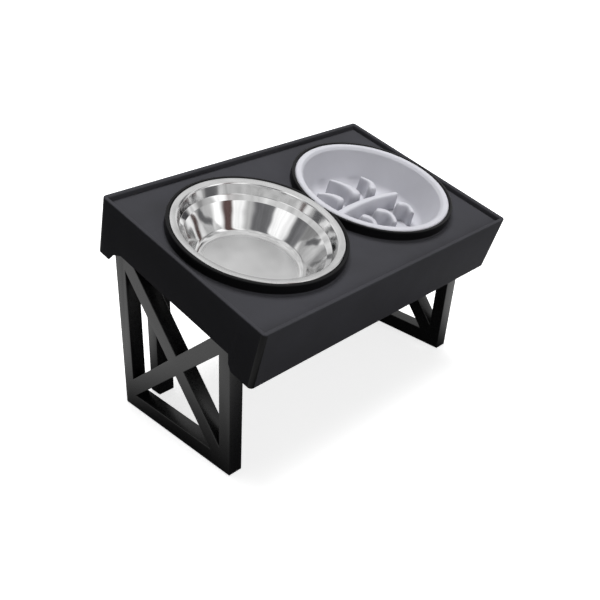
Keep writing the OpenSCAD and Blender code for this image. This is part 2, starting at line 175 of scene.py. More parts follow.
@dataclass
class Surface:
    """Grid surfaces gathered into one mesh, in millimetres."""

    points: list[Points] = field(default_factory=list)
    faces: list[list[int]] = field(default_factory=list)
    coats: list[int] = field(default_factory=list)
    count: int = 0

    def add(self, points: Points, faces: Points, coats: Points | int = 0) -> None:
        """Add loose points and the faces between them.

        Args:
            points: points as coordinates.
            faces: faces as rows of numbers of these points.
            coats: numbers of the faces' finishes, or one for all.
        """
        self.points.append(points.reshape(-1, 3))
        self.faces.extend((faces + self.count).tolist())
        self.coats.extend(np.broadcast_to(coats, len(faces)).tolist())
        self.count += len(self.points[-1])

    def add_grid(self, grid: Points, wrap_rows: bool = False, mirror_plane: bool = False,
                 coats: Points | int = 0) -> None:
        """Add a grid of points as quads between neighbouring rows and columns.

        The last column joins the first.

        Args:
            grid: points as rows, columns and coordinates.
            wrap_rows: whether the last row joins the first.
            mirror_plane: whether quads that lie in the plane x = 0 are left out.
            coats: numbers of the quads' finishes by row and column, or one for all.
        """
        rows, columns = grid.shape[:2]
        i = np.arange(rows if wrap_rows else rows - 1)[:, None]
        j = np.arange(columns)[None]
        i1 = (i + 1) % rows
        j1 = (j + 1) % columns
        quads = np.stack([i * columns + j, i * columns + j1, i1 * columns + j1, i1 * columns + j], axis=-1)
        quads = quads.reshape(-1, 4)
        coats = np.broadcast_to(coats, (len(i), columns)).reshape(-1)
        if mirror_plane:
            in_plane = np.abs(grid.reshape(-1, 3)[quads, 0]).max(axis=1) < MERGE_MM
            quads, coats = quads[~in_plane], coats[~in_plane]
        self.add(grid, quads, coats)

    def to_object(self, name: str, body: str, slot: Slot, nodes: Sequence[str], *finishes: Material) -> None:
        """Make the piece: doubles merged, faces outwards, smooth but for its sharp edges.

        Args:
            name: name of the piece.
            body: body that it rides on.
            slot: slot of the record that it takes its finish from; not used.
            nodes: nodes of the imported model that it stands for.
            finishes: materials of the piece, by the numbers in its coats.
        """
        mesh = bpy.data.meshes.new(name)
        for finish in finishes:
            mesh.materials.append(finish)
        mesh.from_pydata((np.concatenate(self.points) * MM).tolist(), [], self.faces)
        mesh.polygons.foreach_set("material_index", self.coats)
        work = bmesh.new()
        work.from_mesh(mesh)
        bmesh.ops.remove_doubles(work, verts=work.verts, dist=MERGE_MM * MM)
        bmesh.ops.dissolve_degenerate(work, edges=work.edges, dist=MERGE_MM * MM / 2)
        bmesh.ops.recalc_face_normals(work, faces=work.faces)
        work.to_mesh(mesh)
        work.free()
        mesh.shade_smooth()
        mesh.set_sharp_from_angle(angle=SHARP_ANGLE)
        piece = add_object(name, mesh)
        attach(piece, body)
        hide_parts(*nodes)
        log.info("%s: %d faces on %s", name, len(mesh.polygons), body)


@dataclass(frozen=True)
class TrayFrame:
    """Place and slope of the tray: its rim plane is z = 0, and its middle is the origin."""

    tilt: float
    y: float
    z: float

    @classmethod
    def from_frame(cls, depth: float, height: float) -> "TrayFrame":
        """Read the slope from a bowl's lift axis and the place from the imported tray's box.

        Args:
            depth: depth of the tray along its slope.
            height: height of the apron walls.

        Returns:
            The tray's frame, in millimetres and radians.
        """
        axis = next(j["axis"] for j in frame["joints"] if j["name"] == "steel_bowl_lift")
        tilt = math.atan2(-axis[1], axis[2])
        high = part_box("tray_shell")[1] / MM
        y = high.y - depth / 2 * math.cos(tilt) - height * math.sin(tilt)
        return cls(tilt, y, high.z - depth / 2 * math.sin(tilt))

    def place(self, points: Points) -> Points:
        """Carry tray points to the room: a turn about X by the slope, then the tray's place.

        Args:
            points: points in the tray's own frame.

        Returns:
            The points in the room.
        """
        x, y, z = np.moveaxis(points, -1, 0)
        sine, cosine = math.sin(self.tilt), math.cos(self.tilt)
        return np.stack([x, self.y + y * cosine - z * sine, self.z + y * sine + z * cosine], axis=-1)

    def across(self, y: float, plane: float) -> float:
        """Tray place across the depth of the room place y on the tray plane z = plane."""
        return (y - self.y + plane * math.sin(self.tilt)) / math.cos(self.tilt)

    def level(self, y: float, plane: float) -> float:
        """Room height of the tray plane z = plane above the room place y."""
        return self.z + (y - self.y) * math.tan(self.tilt) + plane / math.cos(self.tilt)


@dataclass
class Tray:
    """Tray: apron and rim as one swept ring, and a floor with two raised collars."""

    length: float = 438.0
    depth: float = 270.0
    height: float = 75.0
    wall: float = 2.5
    rim: float = 5.5
    floor: float = -7.0
    under: float = -10.5
    corner: float = 5.0
    notch: float = -56.0
    notch_room: float = 0.5
    notch_lean: float = 10.0
    notch_cut: Pair = (16.0, 8.0)
    lead_w: float = 3.5
    lead_h: float = 7.0
    bowl_x: float = 101.5
    collar_r: float = 105.5
    collar_top: float = 5.5
    bore_r: float = 101.8
    shelf: float = 1.2
    hole_r: float = 93.8
    collar_round: float = 0.8
    collar_foot: float = 2.5
    rim_edge: float = 1.4
    rim_lip: float = 2.5
    low_edge: float = 0.5
    boss_r: float = 4.5
    boss_wall: float = 1.9
    boss_low: float = -17.5
    socket_reach: float = 9.4
    post_w: float = 17.5
    arc_rings: int = 5
    rim_steps: int = 5
    corner_steps: int = 13
    boss_columns: int = 32
    columns: int = 288
    place: TrayFrame = field(init=False)

    def __post_init__(self) -> None:
        """Find the tray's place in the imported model."""
        self.place = TrayFrame.from_frame(self.depth, self.height)

    def outline(self) -> tuple[Points, Points, Points]:
        """Columns of the apron: the outer outline with round corners and a notch on each short side.

        The front edge of a notch is upright in the room. Its top back corner is cut off aslant, and its
        back edge leans outwards.

        Returns:
            Anchor points, inward normals and height of the lower edge, one per column.
        """
        leg_low, leg_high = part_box("leg_frame_left")
        front = leg_low.y / MM - self.notch_room
        back = leg_high.y / MM + self.notch_room
        low, lead = -self.height, self.lead_h - self.height
        corners = [(front - self.lead_w, low), (front, lead), (front, self.notch),
                   (back - self.notch_cut[0], self.notch), (back, self.notch - self.notch_cut[1]),
                   (back + self.notch_lean, low)]
        ends = np.array([self.place.across(y, plane) for y, plane in corners])
        notch_lows = np.array([plane for _, plane in corners])
        turn = np.radians(np.linspace(0, 90, self.corner_steps))
        anchors, normals, lows = [], [], []
        for quarter in range(4):
            angle = turn + math.radians(90) * (quarter - 1)
            spoke = np.stack([np.cos(angle), np.sin(angle)], axis=-1)
            sign = np.sign(spoke[self.corner_steps // 2])
            centre = sign * (np.array([self.length, self.depth]) / 2 - self.corner)
            anchors.append(centre + self.corner * spoke)
            normals.append(-spoke)
            lows.append(np.full(self.corner_steps, low))
            if quarter in (0, 2):
                order = 1 if quarter == 0 else -1
                short_side = np.full(len(ends), sign[0] * self.length / 2)
                anchors.append(np.stack([short_side, ends[::order]], axis=-1))
                normals.append(np.tile([-sign[0], 0.0], (len(ends), 1)))
                lows.append(notch_lows[::order])
        return tuple(np.concatenate(part) for part in (anchors, normals, lows))

    def apron(self) -> tuple[Points, Points]:
        """Carry the section of apron and rim along the outline: anchor + inward normal * depth.

        Returns:
            A closed ring of points, one row per corner of the section, and the numbers of its finishes:
            1 on the round upright corners, else 0.
        """
        anchors, normals, lows = self.outline()
        edge, small = self.rim_edge, self.low_edge
        middle = (self.floor + self.under) / 2
        top = [(0, -edge), (0, 0), (self.rim, 0), (self.rim, middle), (self.wall, middle)]
        top = round_corners(top, [0, edge, self.rim_lip, 0, 0], self.rim_steps)[1:]
        foot = [(self.wall, small), (self.wall - small, 0.0), (small, 0.0), (0.3 * small, 0.3 * small),
                (0.0, small)]
        section = np.concatenate([top, foot])
        inset = section[:, :1]
        heights = section[:, 1:] + np.zeros(len(anchors))
        heights[len(top):] += lows
        x = anchors[:, 0] + inset * normals[:, 0]
        y = anchors[:, 1] + inset * normals[:, 1]
        bent = np.abs(normals).min(axis=1) > TINY
        # Number 1 gives the round upright corners the near black finish, darker than the rest of the apron.
        coats = np.zeros(heights.shape, int)
        coats[-1] = bent | np.roll(bent, -1)
        return np.stack([x, y, heights], axis=-1), coats

    def edge_reach(self, turn: Points) -> Points:
        """Distance from a bowl's axis to the floor's edge, by halving steps along each ray.

        Args:
            turn: directions of the rays, in radians from the tray's end.

        Returns:
            The distance along each ray to the rounded edge or to the middle plane, whichever is nearer.
        """
        inset = self.wall / 2
        half = np.array([self.length, self.depth]) / 2 - inset - self.corner
        ray = np.stack([np.cos(turn), np.sin(turn)], axis=-1)
        near = np.zeros(len(turn))
        far = np.full(len(turn), self.length)
        for _ in range(HALVINGS):
            reach = (near + far) / 2
            over = np.maximum(np.abs(reach[:, None] * ray + [self.bowl_x, 0]) - half, 0)
            outside = np.linalg.norm(over, axis=-1) > self.corner - inset
            near = np.where(outside, near, reach)
            far = np.where(outside, reach, far)
        middle = np.where(ray[:, 0] < 0, self.bowl_x / np.maximum(-ray[:, 0], TINY), np.inf)
        return np.minimum(near, middle)

    def floor_half(self) -> Points:
        """Floor, collar, shelf and hole round the right bowl, as rings about its axis.

        Where the two collars meet in the middle plane, rings that would cross it stop there, at the
        collar's top, or at the shelf where the rooms for the two rims run into each other.

        Returns:
            A grid with one row per ring, closed over the underside.
        """
        meet = math.pi - np.arccos(self.bowl_x / np.array([self.collar_r, self.bore_r]))
        corner = math.atan2(self.depth / 2 - self.wall / 2, -self.bowl_x)
        special = np.concatenate([meet, meet - TINY, [corner, corner - TINY]])
        turn = np.linspace(-math.pi, math.pi, self.columns, endpoint=False)
        turn = np.unique(np.concatenate([turn, special, -special]))
        edge = self.edge_reach(turn)
        soft, hollow, top = self.collar_round, self.collar_foot, self.collar_top
        rings = [(self.collar_r + hollow, self.floor), (self.collar_r, self.floor), (self.collar_r, top),
                 (self.bore_r, top), (self.bore_r, self.shelf), (self.hole_r, self.shelf),
                 (self.hole_r, self.under)]
        rings = round_corners(rings, [0, hollow, soft, soft, 0, 0, 0], self.arc_rings - 1)[1:]
        # Exact radii, because the rings are compared with the edge where the collars meet.
        r, z = np.round(rings[:, :1], DIGITS), rings[:, 1:]
        crossed = r > edge
        stop = np.where(edge < self.bore_r, self.shelf, np.where(edge < self.collar_r, top, self.floor))
        radius = np.vstack([edge, np.where(crossed, edge, r), edge])
        height = np.vstack([stop, np.where(crossed, stop, z), np.full(len(turn), self.under)])
        x = self.bowl_x + radius * np.cos(turn)
        x = np.where(np.abs(x) < MERGE_MM, 0.0, x)
        return np.stack([x, radius * np.sin(turn), height], axis=-1)

    def boss_places(self) -> list[Pair]:
        """Places of the screw bosses in the tray, worked out from the boxes of a leg and a rear post.

        Returns:
            Tray places of the bosses on the right side.
        """
        leg_low, leg_high = (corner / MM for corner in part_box("leg_frame_right"))
        post_low, post_high = (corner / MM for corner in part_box("rear_post_right"))
        middle = (leg_low.x + leg_high.x) / 2
        places = [
            (middle, leg_low.y - self.socket_reach),
            (middle, leg_low.y + self.post_w + self.socket_reach),
            (middle, leg_high.y - self.post_w - self.socket_reach),
            (post_low.x - self.socket_reach, (post_low.y + post_high.y) / 2)]
        return [(x, self.place.across(y, self.boss_low)) for x, y in places]

    def build(self, finish: Material, shade_finish: Material) -> None:
        """Build the tray as one piece.

        Args:
            finish: material of the tray.
            shade_finish: material of its collars and upright corners.
        """
        surface = Surface()
        apron, corners = self.apron()
        surface.add_grid(self.place.place(apron), wrap_rows=True, coats=corners)
        half = self.floor_half()
        # Painted shade: the collars' walls and tops take the near black finish, which stands in for the shade
        # under the bowls' rims.
        collars = np.zeros((len(half), 1), int)
        collars[self.arc_rings - 1:3 * self.arc_rings + 1] = 1
        for side in Side:
            grid = half * [side.value, 1, 1]
            surface.add_grid(self.place.place(grid), wrap_rows=True, mirror_plane=True, coats=collars)
        bore = self.boss_r - self.boss_wall
        boss = np.array([(bore, self.under), (self.boss_r, self.under), (self.boss_r, self.boss_low),
                         (bore, self.boss_low)])
        for x, y in self.boss_places():
            for side in Side:
                grid = revolve(boss, self.boss_columns) + [side.value * x, y, 0]
                surface.add_grid(self.place.place(grid), wrap_rows=True)
        surface.to_object("tray", "tray", Slot.ABS, ["tray_shell"], finish, shade_finish)


@dataclass
class SteelBowl:
    """Pressed steel bowl: one sheet with a rolled edge, a shoulder in its wall and a flat satin floor."""

    radius: float = 101.0
    rim_top: float = 6.0
    floor: float = -49.0
    floor_r: float = 64.4
    step_low: Pair = (83.7, -14.9)
    step_high: Pair = (89.1, -9.5)
    mouth_r: float = 91.9
    flange_r: float = 94.2
    sheet: float = 1.0
    bead: float = 2.0
    roll_turn: Pair = (80.0, -175.0)
    roll_points: int = 18
    columns: int = 256

    def profile(self) -> Points:
        """Section of the sheet from the middle of its floor, over the rim and back underneath.

        Returns:
            Points of radius and height, with round corners.
        """
        top, bead, sheet = self.rim_top, self.bead, self.sheet
        inner = [(0, self.floor), (self.floor_r, self.floor), self.step_low, self.step_high,
                 (self.mouth_r, top - 2.0), (self.flange_r, top - 0.5), (self.radius - bead, top)]
        inner = round_corners(inner, [0, 11, 1.5, 1.5, 3.0, 3.0, 0])
        turn = np.radians(np.linspace(*self.roll_turn, self.roll_points))
        roll = bead * np.stack([np.cos(turn), np.sin(turn)], axis=-1) + [self.radius - bead, top - bead]
        outer = [(self.radius - 2 * bead, top - 2.2), (self.mouth_r + 0.9 * sheet, top - 3.2)]
        outer += [(r + sheet, z - 0.4 * sheet) for r, z in (self.step_high, self.step_low)]
        outer += [(self.floor_r + 0.6 * sheet, self.floor - sheet), (0, self.floor - sheet)]
        outer = round_corners(outer, [0, 2.0, 1.5, 1.5, 12, 0])
        return np.concatenate([inner, roll, outer])

    def build(self, tray: Tray, finish: Material) -> None:
        """Build the bowl in the left collar.

        Args:
            tray: tray that it sits in.
            finish: material of the bowl.
        """
        surface = Surface()
        grid = revolve(self.profile(), self.columns) + [-tray.bowl_x, 0, 0]
        surface.add_grid(tray.place.place(grid))
        surface.to_object("steel_bowl_sheet", "steel_bowl", Slot.STEEL, ["steel_bowl"], finish)


@dataclass
class Fin:
    """Soft ridge on the slow feeder's floor, from a slim tail to a round head."""

    tail: Pair
    head: Pair
    bow: float
    tail_w: float
    head_w: float
    tail_h: float
    head_h: float
    spine_points: int = 17
    cap_points: int = 13
    dome_points: int = 15

    def spine(self, share: Points) -> tuple[Points, Points]:
        """Points and directions along the bowed middle line: a straight line plus a parabola to its left.

        Args:
            share: places along the line, from 0 at the tail to 1 at the head.

        Returns:
            Points and unit directions at those places.
        """
        a, b = np.array(self.tail), np.array(self.head)
        side = left_of(unit(b - a))
        s = share[:, None]
        points = a + (b - a) * s + side * self.bow * 4 * s * (1 - s)
        return points, unit(b - a + side * self.bow * 4 * (1 - 2 * s))

    def grid(self, floor: float) -> Points:
        """Rings that shrink from the fin's foot to its ridge.

        Each point of a ring lies on the way from the spine to the foot's outline. The ring's share of that
        way is cos(t) ** 0.5 and its share of the height is sin(t) ** 0.5, a broad back with round edges, and
        its foot flares out.

        Args:
            floor: height of the bowl's floor.

        Returns:
            A grid with one row per ring.
        """
        share = np.linspace(0, 1, self.spine_points)
        cap = np.radians(np.linspace(90, -90, self.cap_points))[1:-1]
        points, ways = self.spine(share)
        sides = left_of(ways)
        head = np.cos(cap)[:, None] * ways[-1] + np.sin(cap)[:, None] * sides[-1]
        tail = -np.cos(cap)[:, None] * ways[0] - np.sin(cap)[:, None] * sides[0]
        middle = np.concatenate([points, np.repeat(points[-1:], len(cap), 0), points[::-1],
                                 np.repeat(points[:1], len(cap), 0)])
        spokes = np.concatenate([sides, head, -sides[::-1], tail])
        along = np.concatenate([share, np.ones(len(cap)), share[::-1], np.zeros(len(cap))])
        ease = along * along * (3 - 2 * along)
        width = (self.tail_w + (self.head_w - self.tail_w) * along) / 2
        height = self.tail_h + (self.head_h - self.tail_h) * ease
        climb = np.radians(np.linspace(0, 90, self.dome_points))
        dome = np.sqrt(np.clip(np.stack([np.cos(climb), np.sin(climb)], axis=-1), 0, 1))
        flare = [(1.25, -0.06), (1.06, 0.015)]
        section = np.concatenate([flare, dome[1:]])
        plan = middle + spokes * width[:, None] * section[:, :1, None]
        level = floor + height * section[:, 1:]
        return np.concatenate([plan, level[..., None]], axis=-1)


@dataclass
class FeederBowl:
    """Moulded slow feeder bowl: a soft rim, a leaning wall, a long divider and six fins."""

    radius: float = 101.0
    rim_top: float = 6.0
    floor: float = -42.0
    bend_r: float = 77.0
    mouth_r: float = 90.4
    rim_in: float = 93.5
    rim_edge: float = 3.2
    skirt_w: float = 3.7
    skirt_h: float = 4.0
    neck_r: float = 92.5
    wall: float = 2.4
    fin_h: float = 24.0
    columns: int = 192

    def inner(self) -> Points:
        """Inner face from the middle of the floor to the top of the rim."""
        corners = [(0, self.floor), (self.bend_r, self.floor), (self.mouth_r, self.rim_top - 3.4),
                   (self.rim_in, self.rim_top), (self.radius - self.rim_edge, self.rim_top)]
        return round_corners(corners, [0, 14, 5, 3, 0])

    def profile(self) -> Points:
        """Section of the wall from the middle of its floor, over the rim and back underneath.

        Returns:
            Points of radius and height, with round corners.
        """
        top, r, skirt = self.rim_top, self.radius, self.radius - self.skirt_w
        low, under = self.rim_top - self.skirt_h, self.floor - self.wall
        rim = [(r - self.rim_edge, top), (r, top), (r, low), (skirt, low), (skirt, top - self.wall),
               (self.neck_r, top - self.wall), (self.neck_r, top - 3.7), (self.bend_r + 2.6, under),
               (0, under)]
        return np.concatenate([self.inner(), round_corners(rim, [0, 3.0, 0.8, 0.8, 0.5, 1.0, 1.0, 16, 0])])

    def fins(self) -> list[Fin]:
        """Ridges on the floor, with their places about the bowl's axis.

        Returns:
            The long divider, three fins behind it and three in front of it.
        """
        h = self.fin_h
        divider = Fin((-86.0, -10.7), (54.0, -5.4), 10, 15.0, 9.0, h, h - 1)
        back = [Fin((-6.5, 60.0), (2.0, 22.0), 5, 4, 16, h - 2, h),
                Fin((41.5, 45.5), (35.0, 20.0), 5, 4, 13, h - 2, h),
                Fin((-47.0, 44.0), (-31.0, 20.5), 4, 4, 13, h - 2, h)]
        front = [Fin((2.0, -48.0), (-1.5, -23.0), -8, 7, 12, h - 3, h),
                 Fin((43.0, -44.5), (39.0, -26.0), -6, 7, 11, h - 3, h),
                 Fin((-34.0, -45.0), (-31.0, -23.0), -6, 7, 11, h - 3, h)]
        return [divider, *back, *front]

    def inside(self, grid: Points) -> Points:
        """Pull points that would pass through the wall back to the middle of its thickness.

        Args:
            grid: points about the bowl's axis.

        Returns:
            The points, none further out than the inner face plus half the wall at its height.
        """
        face = self.inner()
        climb = face[:, 1] > self.floor + 0.01
        limit = np.interp(grid[..., 2], face[climb, 1], face[climb, 0]) + self.wall / 2
        reach = np.linalg.norm(grid[..., :2], axis=-1)
        shrink = np.minimum(1, limit / np.maximum(reach, TINY))
        return grid * np.stack([shrink, shrink, np.ones_like(shrink)], axis=-1)

    def build(self, tray: Tray, finish: Material) -> None:
        """Build the bowl in the right collar.

        Args:
            tray: tray that it sits in.
            finish: material of the bowl.
        """
        surface = Surface()
        middle = [tray.bowl_x, 0, 0]
        surface.add_grid(tray.place.place(revolve(self.profile(), self.columns) + middle))
        for fin in self.fins():
            surface.add_grid(tray.place.place(self.inside(fin.grid(self.floor)) + middle))
        surface.to_object("slow_feeder_bowl", "feeder_bowl", Slot.PP, ["feeder_bowl"], finish)


def bevelled_prism(loops: Sequence[Points], x0: float, x1: float, bevel: float) -> Surface:
    """Plate between two x planes with rounded edges, cut from an outline and its windows.

    Each loop has the solid on its left. Its rows move into the solid by bevel * (1 - sin t) while x moves
    by bevel * (1 - cos t), a quarter circle, at both faces.

    Args:
        loops: outline first, then windows, as places along y and z.
        x0: plane of the first face.
        x1: plane of the second face.
        bevel: radius of the rounded edges.

    Returns:
        The plate as a closed surface.
    """
    turn = np.radians(np.linspace(0, 90, BEVEL_POINTS))
    inset = np.concatenate([bevel * (1 - np.sin(turn)), bevel * (1 - np.sin(turn[::-1]))])
    depth = bevel * (1 - np.cos(turn))
    way = math.copysign(1, x1 - x0)
    x = np.concatenate([x0 + way * depth, x1 - way * depth[::-1]])
    surface = Surface()
    faces: list[list[Vector]] = []
    for loop in loops:
        normal = left_of(unit(np.roll(loop, -1, axis=0) - loop))
        before = np.roll(normal, 1, axis=0)
        push = (normal + before) / (1 + (normal * before).sum(axis=1, keepdims=True))
        rows = loop + push * inset[:, None, None]
        grid = np.concatenate([np.broadcast_to(x[:, None, None], (*rows.shape[:2], 1)), rows], axis=-1)
        surface.add_grid(grid)
        faces.append([Vector((y, z, 0)) for y, z in rows[0]])
    flat = np.array([p[:2] for loop in faces for p in loop])
    triangles = np.array(tessellate_polygon(faces))
    for plane in (x0, x1):
        surface.add(np.column_stack([np.full(len(flat), plane), flat]), triangles)
    return surface


@dataclass
class LegFrame:
    """Leg frame: two posts, a foot bar, a hidden rail and two crossed braces in one moulding."""

    side: Side
    post_w: float = 17.5
    brace_w: float = 20.0
    brace_front: float = 18.0
    brace_back: float = 31.0
    brace_top: float = -58.0
    foot_bar: float = 21.0
    rail_low: float = -54.0
    rail_top: float = -44.0
    post_top: float = -21.1
    bevel: float = 0.9

    def loops(self, place: TrayFrame, low: Vector, high: Vector) -> list[Points]:
        """Outline of the frame and the four windows that the braces leave.

        Args:
            place: frame of the tray, whose slope the rail follows.
            low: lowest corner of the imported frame, in millimetres.
            high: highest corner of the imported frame, in millimetres.

        Returns:
            Loops of places along y and z, with the solid on their left.
        """
        front, back = low.y + self.post_w, high.y - self.post_w
        edge = [(low.y, low.z), (high.y, low.z)]
        for y, plane in ((high.y, self.post_top), (back, self.post_top), (back, self.rail_top),
                         (front, self.rail_top), (front, self.post_top), (low.y, self.post_top)):
            edge.append((y, place.level(y, plane)))
        rise_low = np.array([front, self.brace_front])
        rise = unit(np.array([back, place.level(back, self.brace_top)]) - rise_low)
        fall_low = np.array([back, self.brace_back])
        fall = unit(np.array([front, place.level(front, self.brace_top)]) - fall_low)
        rise_out, fall_out = left_of(rise) * self.brace_w / 2, left_of(fall) * self.brace_w / 2
        over, under = (rise_low + rise_out, rise), (rise_low - rise_out, rise)
        fall_over, fall_under = (fall_low - fall_out, fall), (fall_low + fall_out, fall)
        upright, level = np.array([0.0, 1.0]), np.array([1.0, 0.0])
        front_post, back_post = (np.array([front, 0.0]), upright), (np.array([back, 0.0]), upright)
        sill = (np.array([0.0, self.foot_bar]), level)
        slope = np.array([math.cos(place.tilt), math.sin(place.tilt)])
        rail = (np.array([front, place.level(front, self.rail_low)]), slope)
        windows = [(front_post, fall_under, over), (back_post, under, fall_over), (sill, under, fall_under),
                   (rail, fall_over, over)]
        loops = [np.array(edge)]
        for a, b, c in windows:
            corners = np.array([line_meet(*a, *b), line_meet(*b, *c), line_meet(*c, *a)])
            sides = corners[1:] - corners[0]
            clockwise = sides[0, 0] * sides[1, 1] < sides[0, 1] * sides[1, 0]
            loops.append(corners if clockwise else corners[::-1])
        return loops

    def build(self, tray: Tray, finish: Material) -> None:
        """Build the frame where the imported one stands.

        Args:
            tray: tray that it carries.
            finish: material of the frame.
        """
        name = self.side.name.lower()
        low, high = (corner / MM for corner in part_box(f"leg_frame_{name}"))
        surface = bevelled_prism(self.loops(tray.place, low, high), low.x, high.x, self.bevel)
        surface.to_object(f"leg_{name}", f"leg_{name}", Slot.ABS, [f"leg_frame_{name}"], finish)


@dataclass
class RearPost:
    """Plain upright under the raised back of the tray."""

    side: Side
    top: float = -21.1
    bevel: float = 0.9

    def build(self, tray: Tray, finish: Material) -> None:
        """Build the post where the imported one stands.

        Args:
            tray: tray that it carries.
            finish: material of the post.
        """
        name = self.side.name.lower()
        low, high = (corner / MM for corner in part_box(f"rear_post_{name}"))
        loop = np.array([(low.y, low.z), (high.y, low.z), (high.y, tray.place.level(high.y, self.top)),
                         (low.y, tray.place.level(low.y, self.top))])
        surface = bevelled_prism([loop], low.x, high.x, self.bevel)
        surface.to_object(f"post_{name}", f"post_{name}", Slot.ABS, [f"rear_post_{name}"], finish)


def linear(colour: str) -> tuple[float, float, float, float]:
    """Turn an sRGB colour into a linear one.

    Args:
        colour: hex value, such as #ffffff.

    Returns:
        Linear red, green, blue and alpha.
    """
    channels = np.array([int(colour[i:i + 2], 16) / 255 for i in (1, 3, 5)])
    light = np.where(channels <= 0.04045, channels / 12.92, ((channels + 0.055) / 1.055) ** 2.4)
    return (*light.tolist(), 1.0)


def add_node(tree: NodeTree, kind: str, inputs: dict[Any, Any] | Sequence[Any] = (),
             **settings: Any) -> Any:
    """Add a node, set its options, and set or link its inputs.

    Args:
        tree: node tree to add to.
        kind: type name of the node.
        inputs: values or output sockets, in the order of the inputs or by their names or indices.
        settings: options of the node.

    Returns:
        The node.
    """
    node = tree.nodes.new(kind)
    for option, value in settings.items():
        setattr(node, option, value)
    for name, value in inputs.items() if isinstance(inputs, dict) else enumerate(inputs):
        if isinstance(value, bpy.types.NodeSocket):
            tree.links.new(value, node.inputs[name])
        else:
            node.inputs[name].default_value = value
    return node


def empty_tree(owner: Any) -> NodeTree:
    """Clear the nodes of a material or a world.

    Args:
        owner: the material or world.

    Returns:
        Its empty node tree.
    """
    owner.use_nodes = True
    owner.node_tree.nodes.clear()
    return owner.node_tree


@dataclass(frozen=True)
class GrainFinish:
    """Even finish with a fine grain from its mould or its plating, and faint clouds from flow."""

    name: str
    colour: str
    cloud_colour: str
    roughness: Pair
    specular: float
    grain_mm: float
    grain_depth_mm: float
    cloud_mm: float = 60.0
    metallic: float = 0.0

    def material(self) -> Material:
        """Work clouds into the colour, and grain into the roughness and the surface.

        Returns:
            The node material.
        """
        material = bpy.data.materials.new(self.name)
        tree = empty_tree(material)
        place = add_node(tree, "ShaderNodeTexCoord").outputs["Object"]
        clouds = add_node(tree, "ShaderNodeTexNoise", {
            "Vector": place, "Scale": 1 / (self.cloud_mm * MM), "Detail": 3.0, "Roughness": 0.55})
        grain = add_node(tree, "ShaderNodeTexNoise", {
            "Vector": place, "Scale": 1 / (self.grain_mm * MM), "Detail": 2.0, "Roughness": 0.5})
        tint = add_node(tree, "ShaderNodeValToRGB", [clouds.outputs["Fac"]])
        colours = (self.colour, self.cloud_colour)
        for stop, position, colour in zip(tint.color_ramp.elements, NOISE_SPAN, colours):
            stop.position = position
            stop.color = linear(colour)
        rough = add_node(tree, "ShaderNodeMapRange", [grain.outputs["Fac"], *NOISE_SPAN, *self.roughness])
        bump = add_node(tree, "ShaderNodeBump", {
            "Height": grain.outputs["Fac"], "Strength": 1.0, "Distance": self.grain_depth_mm * MM})
        shader = add_node(tree, "ShaderNodeBsdfPrincipled", {
            "Base Color": tint.outputs[0], "Roughness": rough.outputs[0], "Normal": bump.outputs[0],
            "Specular IOR Level": self.specular, "Metallic": self.metallic})
        add_node(tree, "ShaderNodeOutputMaterial", {"Surface": shader.outputs[0]})
        return material


@dataclass(frozen=True)
class PressedSteelFinish:
    """Stainless steel, pressed and polished: a mirror wall, with satin on its rim and floor."""

    name: str
    colour: str
    smudge_colour: str
    wall_roughness: float
    floor_roughness: float
    rim_roughness: float
    floor_r: float
    rim_r: float
    ring_mm: float
    wave_mm: float
    ring_depth_mm: float = 0.002
    wave_depth_mm: float = 0.9
    ramp_mm: float = 100.0

    def material(self, centre: Vector, tilt: float) -> Material:
        """Make the node material about the bowl's own axis.

        Args:
            centre: point of the axis at the rim plane, in metres.
            tilt: slope of the bowl, in radians.

        Returns:
            The node material.
        """
        material = bpy.data.materials.new(self.name)
        tree = empty_tree(material)
        place = add_node(tree, "ShaderNodeTexCoord").outputs["Object"]
        bowl = add_node(tree, "ShaderNodeMapping", {
            "Vector": place, "Location": centre, "Rotation": (tilt, 0, 0)}, vector_type="TEXTURE")
        flat = add_node(tree, "ShaderNodeVectorMath", [bowl.outputs[0], (1, 1, 0)], operation="MULTIPLY")
        reach = add_node(tree, "ShaderNodeVectorMath", [flat.outputs[0]], operation="LENGTH")
        radius = reach.outputs["Value"]
        share = add_node(tree, "ShaderNodeMath", [radius, self.ramp_mm * MM], operation="DIVIDE")
        zones = add_node(tree, "ShaderNodeValToRGB", [share.outputs[0]])
        steps = [(0.0, self.floor_roughness), (self.floor_r - 2, self.floor_roughness),
                 (self.floor_r + 1, self.wall_roughness), (self.rim_r - 1, self.wall_roughness),
                 (self.rim_r + 1, self.rim_roughness)]
        ramp = zones.color_ramp
        while len(ramp.elements) < len(steps):
            ramp.elements.new(0.5)
        for element, (r, value) in zip(ramp.elements, steps):
            element.position = r / self.ramp_mm
            element.color = (value, value, value, 1)
        rings = add_node(tree, "ShaderNodeTexNoise", {
            "W": radius, "Scale": 1 / (self.ring_mm * MM), "Detail": 3.0}, noise_dimensions="1D")
        waves = add_node(tree, "ShaderNodeTexNoise", {
            "Vector": bowl.outputs[0], "Scale": 1 / (self.wave_mm * MM), "Detail": 1.0})
        tint = add_node(tree, "ShaderNodeMix", {
            "Factor": waves.outputs["Fac"], "A": linear(self.smudge_colour), "B": linear(self.colour)},
            data_type="RGBA")
        fine = add_node(tree, "ShaderNodeBump", {
            "Height": rings.outputs["Fac"], "Strength": 0.5, "Distance": self.ring_depth_mm * MM})
        broad = add_node(tree, "ShaderNodeBump", {
            "Height": waves.outputs["Fac"], "Strength": 1.0, "Distance": self.wave_depth_mm * MM,
            "Normal": fine.outputs[0]})
        shader = add_node(tree, "ShaderNodeBsdfPrincipled", {
            "Base Color": tint.outputs["Result"], "Roughness": zones.outputs[0],
            "Normal": broad.outputs[0], "Metallic": 1.0})
        add_node(tree, "ShaderNodeOutputMaterial", {"Surface": shader.outputs[0]})
        return material


# The grain of each finish is drawn at 0.5 to 1.2 mm, coarser than the real one of about 0.1 mm, so that
# it shows at all. So are the polishing rings of the steel.

